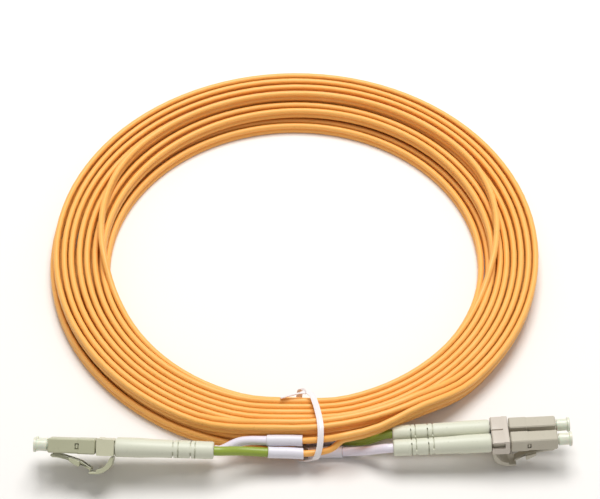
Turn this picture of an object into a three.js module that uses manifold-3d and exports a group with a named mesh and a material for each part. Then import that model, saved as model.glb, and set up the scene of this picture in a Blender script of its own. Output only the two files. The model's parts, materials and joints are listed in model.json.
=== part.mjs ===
// Duplex multimode fibre patch cord, LC to LC, wound in a round coil and held by a twist tie.
// Millimetres, +Z up. The cord is a zip cord of two round legs. At each end the legs part, run
// through a marker tube and a coloured sleeve, and end in two connectors joined by a duplex clip.
import * as THREE from 'three';
import { mergeVertices } from 'three/addons/utils/BufferGeometryUtils.js';
import Module from 'manifold-3d';

const wasm = await Module();
wasm.setup();

// ---- Driving dimensions --------------------------------------------------------------------

// Clearances
const SEAT_GAP = 0.3;
const SLIDE_GAP = 0.1;
const LOOSE_GAP = 0.2;

// Cord
const LEG_DIAMETER = 2.0;
const WEB_HEIGHT = 0.1;
const FLAT_SHARE = 0.1;
const TURN_GAP = 0.52;
const LAYER_GAP = 0.45;
const COIL_RADIUS = 82.0;
const TURNS = 16;
const STEPS_PER_TURN = 24;
const HUMP_HEIGHT = 4.6;
const TIE_HUMP = 1.4;

// Sleeves and marker tubes on the legs
const SLEEVE_WALL = 0.3;
const SLEEVE_GAP = 0.15;
const SLEEVE_LENGTH = 16.6;
const MARKER_DIAMETER = 3.6;
const MARKER_WALL = 0.6;
const MARKER_LENGTH = 11.0;

// Connector body, lengths run back from the front face
const PAIR_PITCH = 6.25;
const NOSE_SIZE = 4.5;
const NOSE_LENGTH = 9.6;
const SHOULDER_SIZE = 4.7;
const HOUSING_LENGTH = 14.6;
const EDGE_CHAMFER = 0.35;
const FERRULE_DIAMETER = 1.25;
const FERRULE_REACH = 1.9;
const FERRULE_SEAT = 1.4;
const MOUTH_DIAMETER = 3.3;
const MOUTH_DEPTH = 2.2;
const LIP_DIAMETER = 2.2;
const LIP_LENGTH = 0.5;
const BORE_DIAMETER = 3.2;
const FLANGE_DIAMETER = 2.7;
const FLANGE_LENGTH = 1.2;
const TAIL_TUBE_DIAMETER = 1.5;
const TAIL_TUBE_LENGTH = 5.6;
const SPRING_WIRE = 0.3;
const SPRING_LENGTH = 3.7;
const SPRING_TURNS = 4;
const FIBRE_DIAMETER = 0.9;

// Back post, crimp ring and boot
const POST_DIAMETER = 2.9;
const BLOCK_LENGTH = 5.4;
const BLOCK_SIZE = 3.4;
const COLLAR_LENGTH = 0.7;
const COLLAR_DIAMETER = 4.0;
const CRIMP_NECK_LENGTH = 5.6;
const CRIMP_RING_WALL = 0.45;
const CRIMP_RING_LENGTH = 5.0;
const BOOT_LENGTH = 30.2;
const BOOT_HEAD_DIAMETER = 5.8;
const BOOT_TAIL_DIAMETER = 5.1;
const BOOT_HEAD_LENGTH = 6.5;
const BOOT_SLOT_WIDTH = 0.5;
const BOOT_SLOT_CORE = 3.5;
const BOOT_SLOT_PLACES = [17.7, 19.3, 23.1, 24.5];
const WINDOW_PLACE = 8.9;
const WINDOW_LENGTH = 1.2;
const WINDOW_HEIGHT = 1.8;

// Duplex clip, latch and trigger
const CLIP_WALL = 0.6;
const CLIP_FRAME_LENGTH = 1.7;
const CLIP_FRAME_STEP = 0.15;
const CLIP_GROOVE_WIDTH = 0.5;
const CLIP_GROOVE_DEPTH = 0.9;
const CLIP_WINDOW_HEIGHT = 2.2;
const LATCH_WIDTH = 2.4;
const LATCH_LUG_WIDTH = 4.2;
const LATCH_RISE = 4.3;
const TRIGGER_WIDTH = 4.6;
const TRIGGER_LIP = 0.6;
const PIVOT_RADIUS = 0.55;

// Dust cap
const CAP_DIAMETER = 3.8;
const CAP_LENGTH = 4.4;
const CAP_FLANGE_DIAMETER = 4.6;
const CAP_FLANGE_LENGTH = 0.8;
const CAP_END_WALL = 1.2;

// Twist tie
const TIE_WIDTH = 2.2;
const TIE_THICKNESS = 0.45;

// Facets round a revolved piece and along the legs
const SIDES = 12;
const LEG_SIDES = 8;

// Where the front face of each duplex plug lies, as along the cord's near side, outwards from the
// coil's outer turn and up, how it is turned in degrees, and on which side of its middle the nearer
// connector, number 1, sits
const PLUG_A = { front: [-75.3, 3.3, 10.8], yaw: 179.2, pitch: 2.4, roll: -128, firstSide: -1 };
const PLUG_B = { front: [81.7, -1.7, 10.3], yaw: 1.6, pitch: 3.0, roll: 170, firstSide: 1 };

// ---- Finishes ------------------------------------------------------------------------------

function plastic(color, roughness) {
  return new THREE.MeshStandardMaterial({ color, roughness, metalness: 0 });
}

const finish = {
  jacket: plastic(0xf0a44a, 0.5),
  body: plastic(0xb4af8c, 0.45),
  boot: plastic(0xe1e8cc, 0.5),
  cap: plastic(0xe6eed8, 0.35),
  white: plastic(0xeae2ea, 0.45),
  green: plastic(0x82912d, 0.45),
  tie: plastic(0xf2eeee, 0.4),
  fibre: plastic(0xf4f4f0, 0.5),
  ceramic: new THREE.MeshStandardMaterial({ color: 0xf6f4ee, roughness: 0.2, metalness: 0 }),
  metal: new THREE.MeshStandardMaterial({ color: 0xb9bcc0, roughness: 0.3, metalness: 1 }),
};

// ---- Geometry helpers ----------------------------------------------------------------------

function positionsOnly(geometry) {
  const bare = geometry.clone();
  bare.deleteAttribute('normal');
  bare.deleteAttribute('uv');
  return mergeVertices(bare, 1e-4);
}

function toSolid(geometry) {
  const merged = positionsOnly(geometry);
  const index = merged.index.array;
  const corners = [];
  for (let i = 0; i < index.length; i += 3) {
    const [a, b, c] = index.slice(i, i + 3);
    if (a !== b && b !== c && c !== a) corners.push(a, b, c);
  }
  const vertProperties = new Float32Array(merged.attributes.position.array);
  const triVerts = new Uint32Array(corners);
  return new wasm.Manifold(new wasm.Mesh({ numProp: 3, vertProperties, triVerts }));
}

function toGeometry(solid) {
  const mesh = solid.getMesh();
  const geometry = new THREE.BufferGeometry();
  geometry.setAttribute('position', new THREE.BufferAttribute(mesh.vertProperties, 3));
  geometry.setIndex(new THREE.BufferAttribute(mesh.triVerts, 1));
  return geometry;
}

function cut(geometry, ...cutters) {
  return toGeometry(cutters.reduce((solid, cutter) => solid.subtract(toSolid(cutter)), toSolid(geometry)));
}

function join(geometry, ...others) {
  return toGeometry(others.reduce((solid, other) => solid.add(toSolid(other)), toSolid(geometry)));
}

// A profile of [along the axis, radius] points turned about the connector's axis, +X forward.
function revolve(profile, sides = SIDES) {
  const points = profile.map(([x, radius]) => new THREE.Vector2(radius, x));
  const geometry = new THREE.LatheGeometry(points, sides);
  return geometry.rotateZ(-Math.PI / 2);
}

// A hollow turned piece: outer profile from back to front, then the bore from front to back.
function revolveHollow(outer, bore, sides = SIDES) {
  return revolve([...bore, ...outer, bore[0]], sides);
}

function box(x0, x1, y0, y1, z0, z1) {
  const geometry = new THREE.BoxGeometry(x1 - x0, y1 - y0, z1 - z0);
  return geometry.translate((x0 + x1) / 2, (y0 + y1) / 2, (z0 + z1) / 2);
}

// A square bar with chamfered long edges and a bevelled front, from x1 forward to x0.
function chamferedBar(x0, x1, size, chamfer) {
  const half = size / 2;
  const inner = half - chamfer;
  const corners = [
    [half, -inner], [half, inner], [inner, half], [-inner, half],
    [-half, inner], [-half, -inner], [-inner, -half], [inner, -half],
  ];
  const shape = new THREE.Shape(corners.map(([y, z]) => new THREE.Vector2(y, z)));
  const bevel = {
    depth: x0 - x1 - 2 * chamfer,
    bevelEnabled: true,
    bevelThickness: chamfer,
    bevelSize: chamfer,
    bevelOffset: -chamfer,
    bevelSegments: 1,
  };
  const geometry = new THREE.ExtrudeGeometry(shape, bevel);
  geometry.rotateY(Math.PI / 2);
  geometry.rotateX(Math.PI / 2);
  return geometry.translate(x1 + chamfer, 0, 0);
}

// A side outline of [x, z] points given a width across Y.
function sideProfile(outline, width) {
  const shape = new THREE.Shape(outline.map(([x, z]) => new THREE.Vector2(x, z)));
  const geometry = new THREE.ExtrudeGeometry(shape, { depth: width, bevelEnabled: false });
  geometry.rotateX(Math.PI / 2);
  return geometry.translate(0, width / 2, 0);
}

// One closed skin through a row of rings with equally many points, with flat ends.
function skin(rings) {
  const sides = rings[0].length;
  const positions = rings.flat().flatMap((point) => [point.x, point.y, point.z]);
  const index = [];
  for (let ring = 0; ring < rings.length - 1; ring += 1) {
    for (let side = 0; side < sides; side += 1) {
      const a = ring * sides + side;
      const b = ring * sides + ((side + 1) % sides);
      index.push(a, b, b + sides, a, b + sides, a + sides);
    }
  }
  const last = (rings.length - 1) * sides;
  for (let side = 1; side < sides - 1; side += 1) {
    index.push(0, side + 1, side);
    index.push(last, last + side, last + side + 1);
  }
  const geometry = new THREE.BufferGeometry();
  geometry.setAttribute('position', new THREE.Float32BufferAttribute(positions, 3));
  geometry.setIndex(index);
  return geometry;
}

// Equally spaced distances along a route.
function stations(from, to, steps) {
  return Array.from({ length: steps + 1 }, (_, step) => from + ((to - from) * step) / steps);
}

// A stretch of a level or gently sloping route, stepped at given distances along it and kept
// upright, so that tubes drawn on the same distances lie exactly one inside the other.
class UprightStretch extends THREE.Curve {
  constructor(route, distances) {
    super();
    const length = route.getLength();
    this.route = route;
    this.shares = distances.map((distance) => THREE.MathUtils.clamp(distance / length, 0, 1));
  }

  getSpacedPoints() {
    return this.shares.map((share) => this.route.getPointAt(share));
  }

  computeFrenetFrames() {
    const up = new THREE.Vector3(0, 0, 1);
    const tangents = this.shares.map((share) => this.route.getTangentAt(share));
    const normals = tangents.map((tangent) => new THREE.Vector3().crossVectors(tangent, up).normalize());
    const binormals = tangents.map((tangent, step) => new THREE.Vector3().crossVectors(tangent, normals[step]));
    return { tangents, normals, binormals };
  }
}

function circlePoints(radius) {
  return Array.from({ length: LEG_SIDES }, (_, side) => {
    const angle = (2 * Math.PI * side) / LEG_SIDES;
    return new THREE.Vector2(radius * Math.cos(angle), radius * Math.sin(angle));
  });
}

function tubeAlong(route, distances, radius, boreRadius = 0) {
  const shape = new THREE.Shape(circlePoints(radius));
  if (boreRadius > 0) shape.holes.push(new THREE.Path(circlePoints(boreRadius)));
  const extrudePath = new UprightStretch(route, distances);
  return new THREE.ExtrudeGeometry(shape, { steps: distances.length - 1, extrudePath });
}

function mesh(name, geometry, material) {
  const piece = new THREE.Mesh(geometry, material);
  piece.name = name;
  return piece;
}

// ---- Places along a connector's axis, front face at 0 and backwards negative ------------------

const FLANGE_FRONT = -(MOUTH_DEPTH + LIP_LENGTH + SEAT_GAP);
const FLANGE_BACK = FLANGE_FRONT - FLANGE_LENGTH;
const SPRING_FRONT = FLANGE_BACK - SLIDE_GAP;
const POST_FRONT = SPRING_FRONT - SPRING_LENGTH - SLIDE_GAP;
const BLOCK_FRONT = -(HOUSING_LENGTH + SEAT_GAP);
const BLOCK_BACK = BLOCK_FRONT - BLOCK_LENGTH;
const COLLAR_BACK = BLOCK_BACK - SEAT_GAP - COLLAR_LENGTH;
const BOOT_FRONT = BLOCK_BACK - SEAT_GAP;
const NECK_BACK = COLLAR_BACK - CRIMP_NECK_LENGTH;
const BOOT_BACK = BOOT_FRONT - BOOT_LENGTH;
const LEG_START = NECK_BACK - SEAT_GAP;
const FIBRE_BORE = FIBRE_DIAMETER / 2 + SLIDE_GAP;
const TAIL_TUBE_BORE = TAIL_TUBE_DIAMETER / 2 + LOOSE_GAP;
const CHANNEL_SIZE = BLOCK_SIZE + 2 * SEAT_GAP;
const CLIP_HALF_HEIGHT = CHANNEL_SIZE / 2 + CLIP_WALL;
const HOUSING_TOP = NOSE_SIZE / 2;

// ---- Pieces of one connector -----------------------------------------------------------------

function housing() {
  const nose = chamferedBar(0, -NOSE_LENGTH, NOSE_SIZE, EDGE_CHAMFER);
  const shoulder = chamferedBar(-NOSE_LENGTH + 2 * EDGE_CHAMFER, -HOUSING_LENGTH, SHOULDER_SIZE, EDGE_CHAMFER);
  const bore = revolve([
    [-HOUSING_LENGTH - 1, 0],
    [-HOUSING_LENGTH - 1, BORE_DIAMETER / 2],
    [-(MOUTH_DEPTH + LIP_LENGTH), BORE_DIAMETER / 2],
    [-(MOUTH_DEPTH + LIP_LENGTH), LIP_DIAMETER / 2],
    [-MOUTH_DEPTH, LIP_DIAMETER / 2],
    [-MOUTH_DEPTH, MOUTH_DIAMETER / 2],
    [1, MOUTH_DIAMETER / 2],
    [1, 0],
  ]);
  const half = SHOULDER_SIZE;
  const windowBack = -WINDOW_PLACE - WINDOW_LENGTH / 2;
  const sideWindows = box(
    windowBack, windowBack + WINDOW_LENGTH, -half, half, -WINDOW_HEIGHT / 2, WINDOW_HEIGHT / 2,
  );
  return cut(join(nose, shoulder), bore, sideWindows);
}

// The latch arm leaves the top face near the front, carries two locking lugs and rises to its tip.
const LATCH_TIP_X = -13.4;
const LATCH_PIVOT = [-1.45, HOUSING_TOP + SEAT_GAP + PIVOT_RADIUS];

function latch() {
  const top = HOUSING_TOP;
  const underside = [
    [-1.1, top + SEAT_GAP], [-3.3, top + SEAT_GAP], [-7.0, top + 0.3 * LATCH_RISE],
    [-10.4, top + 0.55 * LATCH_RISE], [LATCH_TIP_X, top + LATCH_RISE],
  ];
  const upper = [
    [LATCH_TIP_X, top + LATCH_RISE + 0.85], [-10.2, top + 0.55 * LATCH_RISE + 0.9],
    [-7.0, top + 0.3 * LATCH_RISE + 0.85], [-3.0, top + 1.4], [-1.5, top + 1.4], [-0.8, top + 0.85],
  ];
  const arm = sideProfile([...underside, ...upper], LATCH_WIDTH);
  const lugs = sideProfile([
    [-6.7, top + 0.32 * LATCH_RISE], [-9.9, top + 0.55 * LATCH_RISE],
    [-9.9, top + 0.55 * LATCH_RISE + 1.5], [-9.3, top + 0.55 * LATCH_RISE + 1.5],
    [-6.7, top + 0.32 * LATCH_RISE + 1.0],
  ], LATCH_LUG_WIDTH);
  return join(arm, lugs);
}

function ferrule() {
  const radius = FERRULE_DIAMETER / 2;
  const chamfer = 0.15;
  return revolve([
    [FLANGE_FRONT - FERRULE_SEAT, 0],
    [FLANGE_FRONT - FERRULE_SEAT, radius],
    [FERRULE_REACH - chamfer, radius],
    [FERRULE_REACH, radius - chamfer],
    [FERRULE_REACH, 0],
  ]);
}

function ferruleFlange() {
  const pocket = FERRULE_DIAMETER / 2 + SLIDE_GAP;
  const tubeBack = FLANGE_BACK - TAIL_TUBE_LENGTH;
  const pocketBack = FLANGE_FRONT - FERRULE_SEAT - SLIDE_GAP;
  const outer = [
    [tubeBack, TAIL_TUBE_DIAMETER / 2], [FLANGE_BACK, TAIL_TUBE_DIAMETER / 2],
    [FLANGE_BACK, FLANGE_DIAMETER / 2], [FLANGE_FRONT - 0.4, FLANGE_DIAMETER / 2],
    [FLANGE_FRONT, FLANGE_DIAMETER / 2 - 0.4],
  ];
  const bore = [
    [FLANGE_FRONT, pocket], [pocketBack, pocket], [pocketBack, FIBRE_BORE], [tubeBack, FIBRE_BORE],
  ];
  return revolveHollow(outer, bore);
}

// A compression spring round the flange's tail tube: 8 steps of 5 sides to a turn.
function ferruleSpring() {
  const wire = SPRING_WIRE / 2;
  const radius = TAIL_TUBE_DIAMETER / 2 + LOOSE_GAP + wire;
  const steps = SPRING_TURNS * 8;
  const travel = SPRING_LENGTH - SPRING_WIRE;
  const rings = [];
  for (let step = 0; step <= steps; step += 1) {
    const angle = (2 * Math.PI * step) / 8;
    const x = SPRING_FRONT - wire - (travel * step) / steps;
    const ring = [];
    for (let side = 0; side < 5; side += 1) {
      const turn = (-2 * Math.PI * side) / 5;
      const reach = radius + wire * Math.cos(turn);
      const along = x + wire * Math.sin(turn);
      ring.push(new THREE.Vector3(along, reach * Math.cos(angle), reach * Math.sin(angle)));
    }
    rings.push(ring);
  }
  return skin(rings);
}

// The back post: a snap-in spigot, the square block that the clip grips and the crimp neck.
function backPost() {
  const spigot = POST_DIAMETER / 2;
  const turned = revolveHollow([
    [NECK_BACK, spigot], [COLLAR_BACK, spigot], [COLLAR_BACK, COLLAR_DIAMETER / 2],
    [BLOCK_BACK - SEAT_GAP, COLLAR_DIAMETER / 2], [BLOCK_BACK - SEAT_GAP, spigot], [POST_FRONT, spigot],
  ], [
    [POST_FRONT, TAIL_TUBE_BORE], [POST_FRONT - TAIL_TUBE_LENGTH, TAIL_TUBE_BORE],
    [POST_FRONT - TAIL_TUBE_LENGTH, FIBRE_BORE + SLIDE_GAP], [NECK_BACK, FIBRE_BORE + SLIDE_GAP],
  ]);
  const block = cut(
    chamferedBar(BLOCK_FRONT, BLOCK_BACK, BLOCK_SIZE, EDGE_CHAMFER),
    revolve([[BLOCK_BACK - 1, 0], [BLOCK_BACK - 1, 1.3], [BLOCK_FRONT + 1, 1.3], [BLOCK_FRONT + 1, 0]]),
  );
  const lugFront = -WINDOW_PLACE + WINDOW_LENGTH / 2 - SEAT_GAP;
  const lugBack = -WINDOW_PLACE - WINDOW_LENGTH / 2 + SEAT_GAP;
  const lugHeight = WINDOW_HEIGHT / 2 - SEAT_GAP;
  const lugReach = NOSE_SIZE / 2 - SLIDE_GAP;
  const lug = (side) => box(
    lugBack, lugFront,
    side > 0 ? spigot - 0.4 : -lugReach, side > 0 ? lugReach : 0.4 - spigot,
    -lugHeight, lugHeight,
  );
  return join(turned, block, lug(1), lug(-1));
}

function crimpRing() {
  const inner = POST_DIAMETER / 2 + SLIDE_GAP;
  const outer = inner + CRIMP_RING_WALL;
  const front = COLLAR_BACK - SEAT_GAP;
  const back = front - CRIMP_RING_LENGTH;
  return revolveHollow(
    [[back, outer - 0.15], [back + 0.4, outer], [front - 0.4, outer], [front, outer - 0.15]],
    [[front, inner], [back, inner]],
  );
}

// The boot's strain relief has two pairs of slots, each cut from two sides and turned by a quarter.
function boot() {
  const head = BOOT_HEAD_DIAMETER / 2;
  const tail = BOOT_TAIL_DIAMETER / 2;
  const chamber = POST_DIAMETER / 2 + SLIDE_GAP + CRIMP_RING_WALL + LOOSE_GAP;
  const legBore = LEG_DIAMETER / 2 + LOOSE_GAP;
  const chamberBack = NECK_BACK - SEAT_GAP;
  const shell = revolveHollow([
    [BOOT_BACK, tail - 0.4], [BOOT_BACK + 0.5, tail], [BOOT_FRONT - 2 * BOOT_HEAD_LENGTH, tail + 0.1],
    [BOOT_FRONT - BOOT_HEAD_LENGTH, head], [BOOT_FRONT - 0.3, head], [BOOT_FRONT, head - 0.3],
  ], [
    [BOOT_FRONT, chamber], [chamberBack, chamber], [chamberBack, legBore], [BOOT_BACK, legBore],
  ]);
  const core = BOOT_SLOT_CORE / 2;
  const slots = BOOT_SLOT_PLACES.map((place, number) => {
    const x0 = BOOT_FRONT - place - BOOT_SLOT_WIDTH / 2;
    const x1 = x0 + BOOT_SLOT_WIDTH;
    const pair = join(box(x0, x1, -head, head, core / 2, head), box(x0, x1, -head, head, -head, -core / 2));
    const rod = revolve([[x0 - 1, 0], [x0 - 1, core], [x1 + 1, core], [x1 + 1, 0]]);
    const slot = cut(pair, rod);
    return number % 2 === 0 ? slot : slot.rotateX(Math.PI / 2);
  });
  return cut(shell, ...slots);
}

function dustCap() {
  const bore = FERRULE_DIAMETER / 2 + SLIDE_GAP;
  const spigot = MOUTH_DIAMETER / 2 - LOOSE_GAP;
  const back = -(MOUTH_DEPTH - SEAT_GAP);
  const flangeBack = CAP_LENGTH - CAP_FLANGE_LENGTH;
  const boreEnd = Math.max(CAP_LENGTH - CAP_END_WALL, FERRULE_REACH + SEAT_GAP);
  return revolve([
    [boreEnd, 0], [boreEnd, bore], [back, bore], [back, spigot], [SEAT_GAP, spigot],
    [SEAT_GAP, CAP_DIAMETER / 2], [flangeBack, CAP_DIAMETER / 2],
    [flangeBack, CAP_FLANGE_DIAMETER / 2 - 0.1], [flangeBack + 0.15, CAP_FLANGE_DIAMETER / 2],
    [CAP_LENGTH - 0.15, CAP_FLANGE_DIAMETER / 2], [CAP_LENGTH, CAP_FLANGE_DIAMETER / 2 - 0.15],
    [CAP_LENGTH, 0],
  ]);
}

function bufferedFibre() {
  const radius = FIBRE_DIAMETER / 2;
  const front = FLANGE_FRONT - FERRULE_SEAT - 2 - SEAT_GAP;
  return revolve([[NECK_BACK, 0], [NECK_BACK, radius], [front, radius], [front, 0]], LEG_SIDES);
}

// ---- Duplex clip and triggers ----------------------------------------------------------------

const CLIP_FRONT = BLOCK_FRONT;
const CLIP_BACK = BLOCK_BACK;
const TRIGGER_PIVOT = [CLIP_BACK + 0.65, CLIP_HALF_HEIGHT + SEAT_GAP + PIVOT_RADIUS];

function duplexClip() {
  const tall = CLIP_HALF_HEIGHT;
  const low = CLIP_HALF_HEIGHT - CLIP_FRAME_STEP;
  const step = CLIP_FRONT - CLIP_FRAME_LENGTH;
  const width = PAIR_PITCH + CHANNEL_SIZE + 2 * CLIP_WALL;
  const block = sideProfile([
    [CLIP_BACK, -low + 0.4], [CLIP_BACK + 0.4, -low], [step - 0.3, -low], [step, -tall],
    [CLIP_FRONT - 0.3, -tall], [CLIP_FRONT, -tall + 0.3], [CLIP_FRONT, tall - 0.3],
    [CLIP_FRONT - 0.3, tall], [CLIP_BACK + 0.2, tall], [CLIP_BACK, tall - 0.2],
  ], width);
  const half = CHANNEL_SIZE / 2;
  const channels = [-1, 1].map((side) => {
    const y = (side * PAIR_PITCH) / 2;
    return box(CLIP_BACK - 1, CLIP_FRONT + 1, y - half, y + half, -half, half);
  });
  const grooveHalf = CLIP_GROOVE_WIDTH / 2;
  const groove = box(CLIP_BACK - 1, step, -grooveHalf, grooveHalf, -tall - 1, CLIP_GROOVE_DEPTH - tall);
  const sill = CLIP_WINDOW_HEIGHT - half;
  const window = box(CLIP_BACK - 1, step + 0.3, PAIR_PITCH / 2, width, -half + 0.1, sill);
  return cut(block, ...channels, groove, window);
}

// The trigger springs from the clip's back edge and reaches forward over the latch's tip.
function trigger() {
  const top = HOUSING_TOP;
  const [pivotX, pivotZ] = TRIGGER_PIVOT;
  const lipUnder = top + LATCH_RISE + 0.85 + SEAT_GAP;
  const lipFront = LATCH_TIP_X + 0.5;
  const lipBack = LATCH_TIP_X - 1.6;
  return sideProfile([
    [pivotX - PIVOT_RADIUS, pivotZ], [pivotX - 0.4, pivotZ - 0.4], [pivotX, pivotZ - PIVOT_RADIUS],
    [pivotX + 0.45, pivotZ - 0.35], [pivotX + 1.0, pivotZ + 0.9], [pivotX + 2.2, lipUnder - 1.7],
    [lipBack - 1.4, lipUnder - 1.1], [lipBack - 0.2, lipUnder - 0.8], [lipBack, lipUnder],
    [lipFront, lipUnder], [lipFront, lipUnder + TRIGGER_LIP - 0.2], [lipFront - 0.3, lipUnder + TRIGGER_LIP],
    [lipBack - 0.6, lipUnder + TRIGGER_LIP], [pivotX + 2.6, lipUnder + 0.2],
    [pivotX + 0.9, lipUnder - 0.9], [pivotX - 0.1, lipUnder - 2.3],
  ], TRIGGER_WIDTH);
}

// ---- Assembly of the two plugs ---------------------------------------------------------------

// A point near the coil's near side: along it, outwards from the outer turn's middle line, and up.
function besideCoil(along, out, up) {
  return new THREE.Vector3(along, -(COIL_RADIUS + out), up);
}

function plugFrame({ front, yaw, pitch, roll, firstSide }) {
  const group = new THREE.Group();
  group.userData.firstSide = firstSide;
  const degree = Math.PI / 180;
  group.position.copy(besideCoil(...front));
  group.rotation.set(roll * degree, -pitch * degree, yaw * degree, 'ZYX');
  group.updateMatrixWorld(true);
  return group;
}

function connectorPieces(id) {
  const jointed = [
    mesh(`${id}_housing`, housing(), finish.body),
    mesh(`${id}_latch`, latch(), finish.body),
    mesh(`${id}_ferrule`, ferrule(), finish.ceramic),
    mesh(`${id}_ferrule_flange`, ferruleFlange(), finish.metal),
    mesh(`${id}_ferrule_spring`, ferruleSpring(), finish.metal),
    mesh(`${id}_back_post`, backPost(), finish.body),
    mesh(`${id}_crimp_ring`, crimpRing(), finish.metal),
    mesh(`${id}_boot`, boot(), finish.boot),
    mesh(`${id}_dust_cap`, dustCap(), finish.cap),
    mesh(`${id}_fibre`, bufferedFibre(), finish.fibre),
    mesh(`${id}_trigger`, trigger(), finish.body),
  ];
  return jointed;
}

function duplexPlug(end, place) {
  const frame = plugFrame(place);
  frame.add(mesh(`${end}_duplex_clip`, duplexClip(), finish.body));
  [place.firstSide, -place.firstSide].forEach((side, number) => {
    const seat = new THREE.Group();
    seat.position.y = (side * PAIR_PITCH) / 2;
    seat.add(...connectorPieces(`${end}${number + 1}`));
    frame.add(seat);
  });
  return frame;
}

const plugA = duplexPlug('a', PLUG_A);
const plugB = duplexPlug('b', PLUG_B);

// A point on the axis of connector 1 or 2 of a plug, x along that axis.
function axisPoint(plug, number, x) {
  const side = plug.userData.firstSide * (number === 1 ? 1 : -1);
  const y = (side * PAIR_PITCH) / 2;
  return new THREE.Vector3(x, y, 0).applyMatrix4(plug.matrixWorld);
}

// ---- Coil ------------------------------------------------------------------------------------

const CORD_HEIGHT = 2 * LEG_DIAMETER + WEB_HEIGHT;
const FLAT_DEPTH = FLAT_SHARE * CORD_HEIGHT;
const TURN_PITCH = LEG_DIAMETER + TURN_GAP;
const LAYER_RISE = CORD_HEIGHT + LAYER_GAP;
const LOWER_LAYER_Z = CORD_HEIGHT / 2 - FLAT_DEPTH;
const TAIL_LIFT = FLAT_DEPTH + SLIDE_GAP;
const FIRST_STEP = 1;
const LAST_STEP = TURNS * STEPS_PER_TURN - 1;

function smooth(value, from, to) {
  return THREE.MathUtils.smoothstep(value, from, to);
}

// The two outer turns of each layer ride over the tails in a long low hump at the near side, and
// all turns lift a little over the twist tie there. The cord's lower end lifts off its flat.
function lift(step) {
  const turn = step / STEPS_PER_TURN;
  const near = Math.round(turn);
  const offset = (turn - near) * 360;
  if (near === 0) return TAIL_LIFT * (1 - smooth(offset, 15, 30));
  const outer = [1, 2, TURNS - 2, TURNS - 1, TURNS].includes(near);
  const hump = outer ? HUMP_HEIGHT * smooth(offset, -45, -28) * (1 - smooth(offset, 2, 24)) : 0;
  return Math.max(hump, Math.abs(offset) < 1 ? TIE_HUMP : 0);
}

// The cord spirals in through the lower layer, climbs in the half turn where it reverses, and
// spirals out again at the same rate through the upper one.
function coilStation(step) {
  const turn = step / STEPS_PER_TURN;
  const inward = Math.min(turn, TURNS - turn);
  const layer = THREE.MathUtils.clamp((turn - TURNS / 2) * 2 + 0.5, 0, 1);
  return {
    angle: -Math.PI / 2 - 2 * Math.PI * turn,
    radius: COIL_RADIUS - TURN_PITCH * inward,
    z: LOWER_LAYER_Z + LAYER_RISE * layer + lift(step),
  };
}

// Zip cord on edge: flat sides of one leg's height and a ridge above and below.
function cordSection() {
  const half = LEG_DIAMETER / 2;
  const tip = CORD_HEIGHT / 2;
  return [[half, -tip + half], [half, tip - half], [0, tip], [-half, tip - half], [-half, -tip + half], [0, -tip]];
}

function coilRing(step, forward = 0) {
  const { angle, radius, z } = coilStation(step);
  const outward = new THREE.Vector3(Math.cos(angle), Math.sin(angle), 0);
  const ahead = new THREE.Vector3(outward.y, -outward.x, 0);
  return cordSection().map(([across, up]) => {
    const point = outward.clone().multiplyScalar(radius + across).addScaledVector(ahead, forward);
    return point.setZ(z + up);
  });
}

function coilRings() {
  const rings = [coilRing(FIRST_STEP, -CORD_HEIGHT)];
  for (let step = FIRST_STEP; step <= LAST_STEP; step += 1) rings.push(coilRing(step));
  rings.push(coilRing(LAST_STEP, CORD_HEIGHT));
  return rings;
}

function segmentGap(point, from, to) {
  const line = new THREE.Line3(from, to);
  return line.closestPointToPoint(point, true, new THREE.Vector3()).distanceTo(point);
}

// Least gap between turns, measured in the radial planes at the stations and half way between.
function leastTurnGap() {
  const sections = [];
  for (let half = 2 * FIRST_STEP; half <= 2 * LAST_STEP; half += 1) {
    const before = coilRing(Math.floor(half / 2));
    const after = coilRing(Math.ceil(half / 2));
    sections.push(before.map((point, number) => point.clone().add(after[number]).multiplyScalar(0.5)));
  }
  const stepsRound = 2 * STEPS_PER_TURN;
  let least = Infinity;
  sections.forEach((section, number) => {
    for (let other = number + stepsRound; other < sections.length; other += stepsRound) {
      sections[other].forEach((point) => section.forEach((from, side) => {
        least = Math.min(least, segmentGap(point, from, section[(side + 1) % section.length]));
      }));
      section.forEach((point) => sections[other].forEach((from, side) => {
        least = Math.min(least, segmentGap(point, from, sections[other][(side + 1) % section.length]));
      }));
    }
  });
  return least;
}

console.log(`least gap between the coil's turns: ${leastTurnGap().toFixed(2)} mm`);

function coil() {
  const reach = 2 * COIL_RADIUS;
  return cut(skin(coilRings()), box(-reach, reach, -reach, reach, -reach, 0));
}

// ---- Legs, sleeves and marker tubes ------------------------------------------------------------

// The face where the coil's cord splits, and the way the cord runs out of it.
function coilEnd(step, direction) {
  const { angle, radius, z } = coilStation(step);
  const ahead = new THREE.Vector3(Math.sin(angle), -Math.cos(angle), 0).multiplyScalar(direction);
  const face = new THREE.Vector3(radius * Math.cos(angle), radius * Math.sin(angle), z);
  face.addScaledVector(ahead, CORD_HEIGHT);
  return { face, ahead };
}

const endA = coilEnd(LAST_STEP, 1);
const endB = coilEnd(FIRST_STEP, -1);

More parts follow.
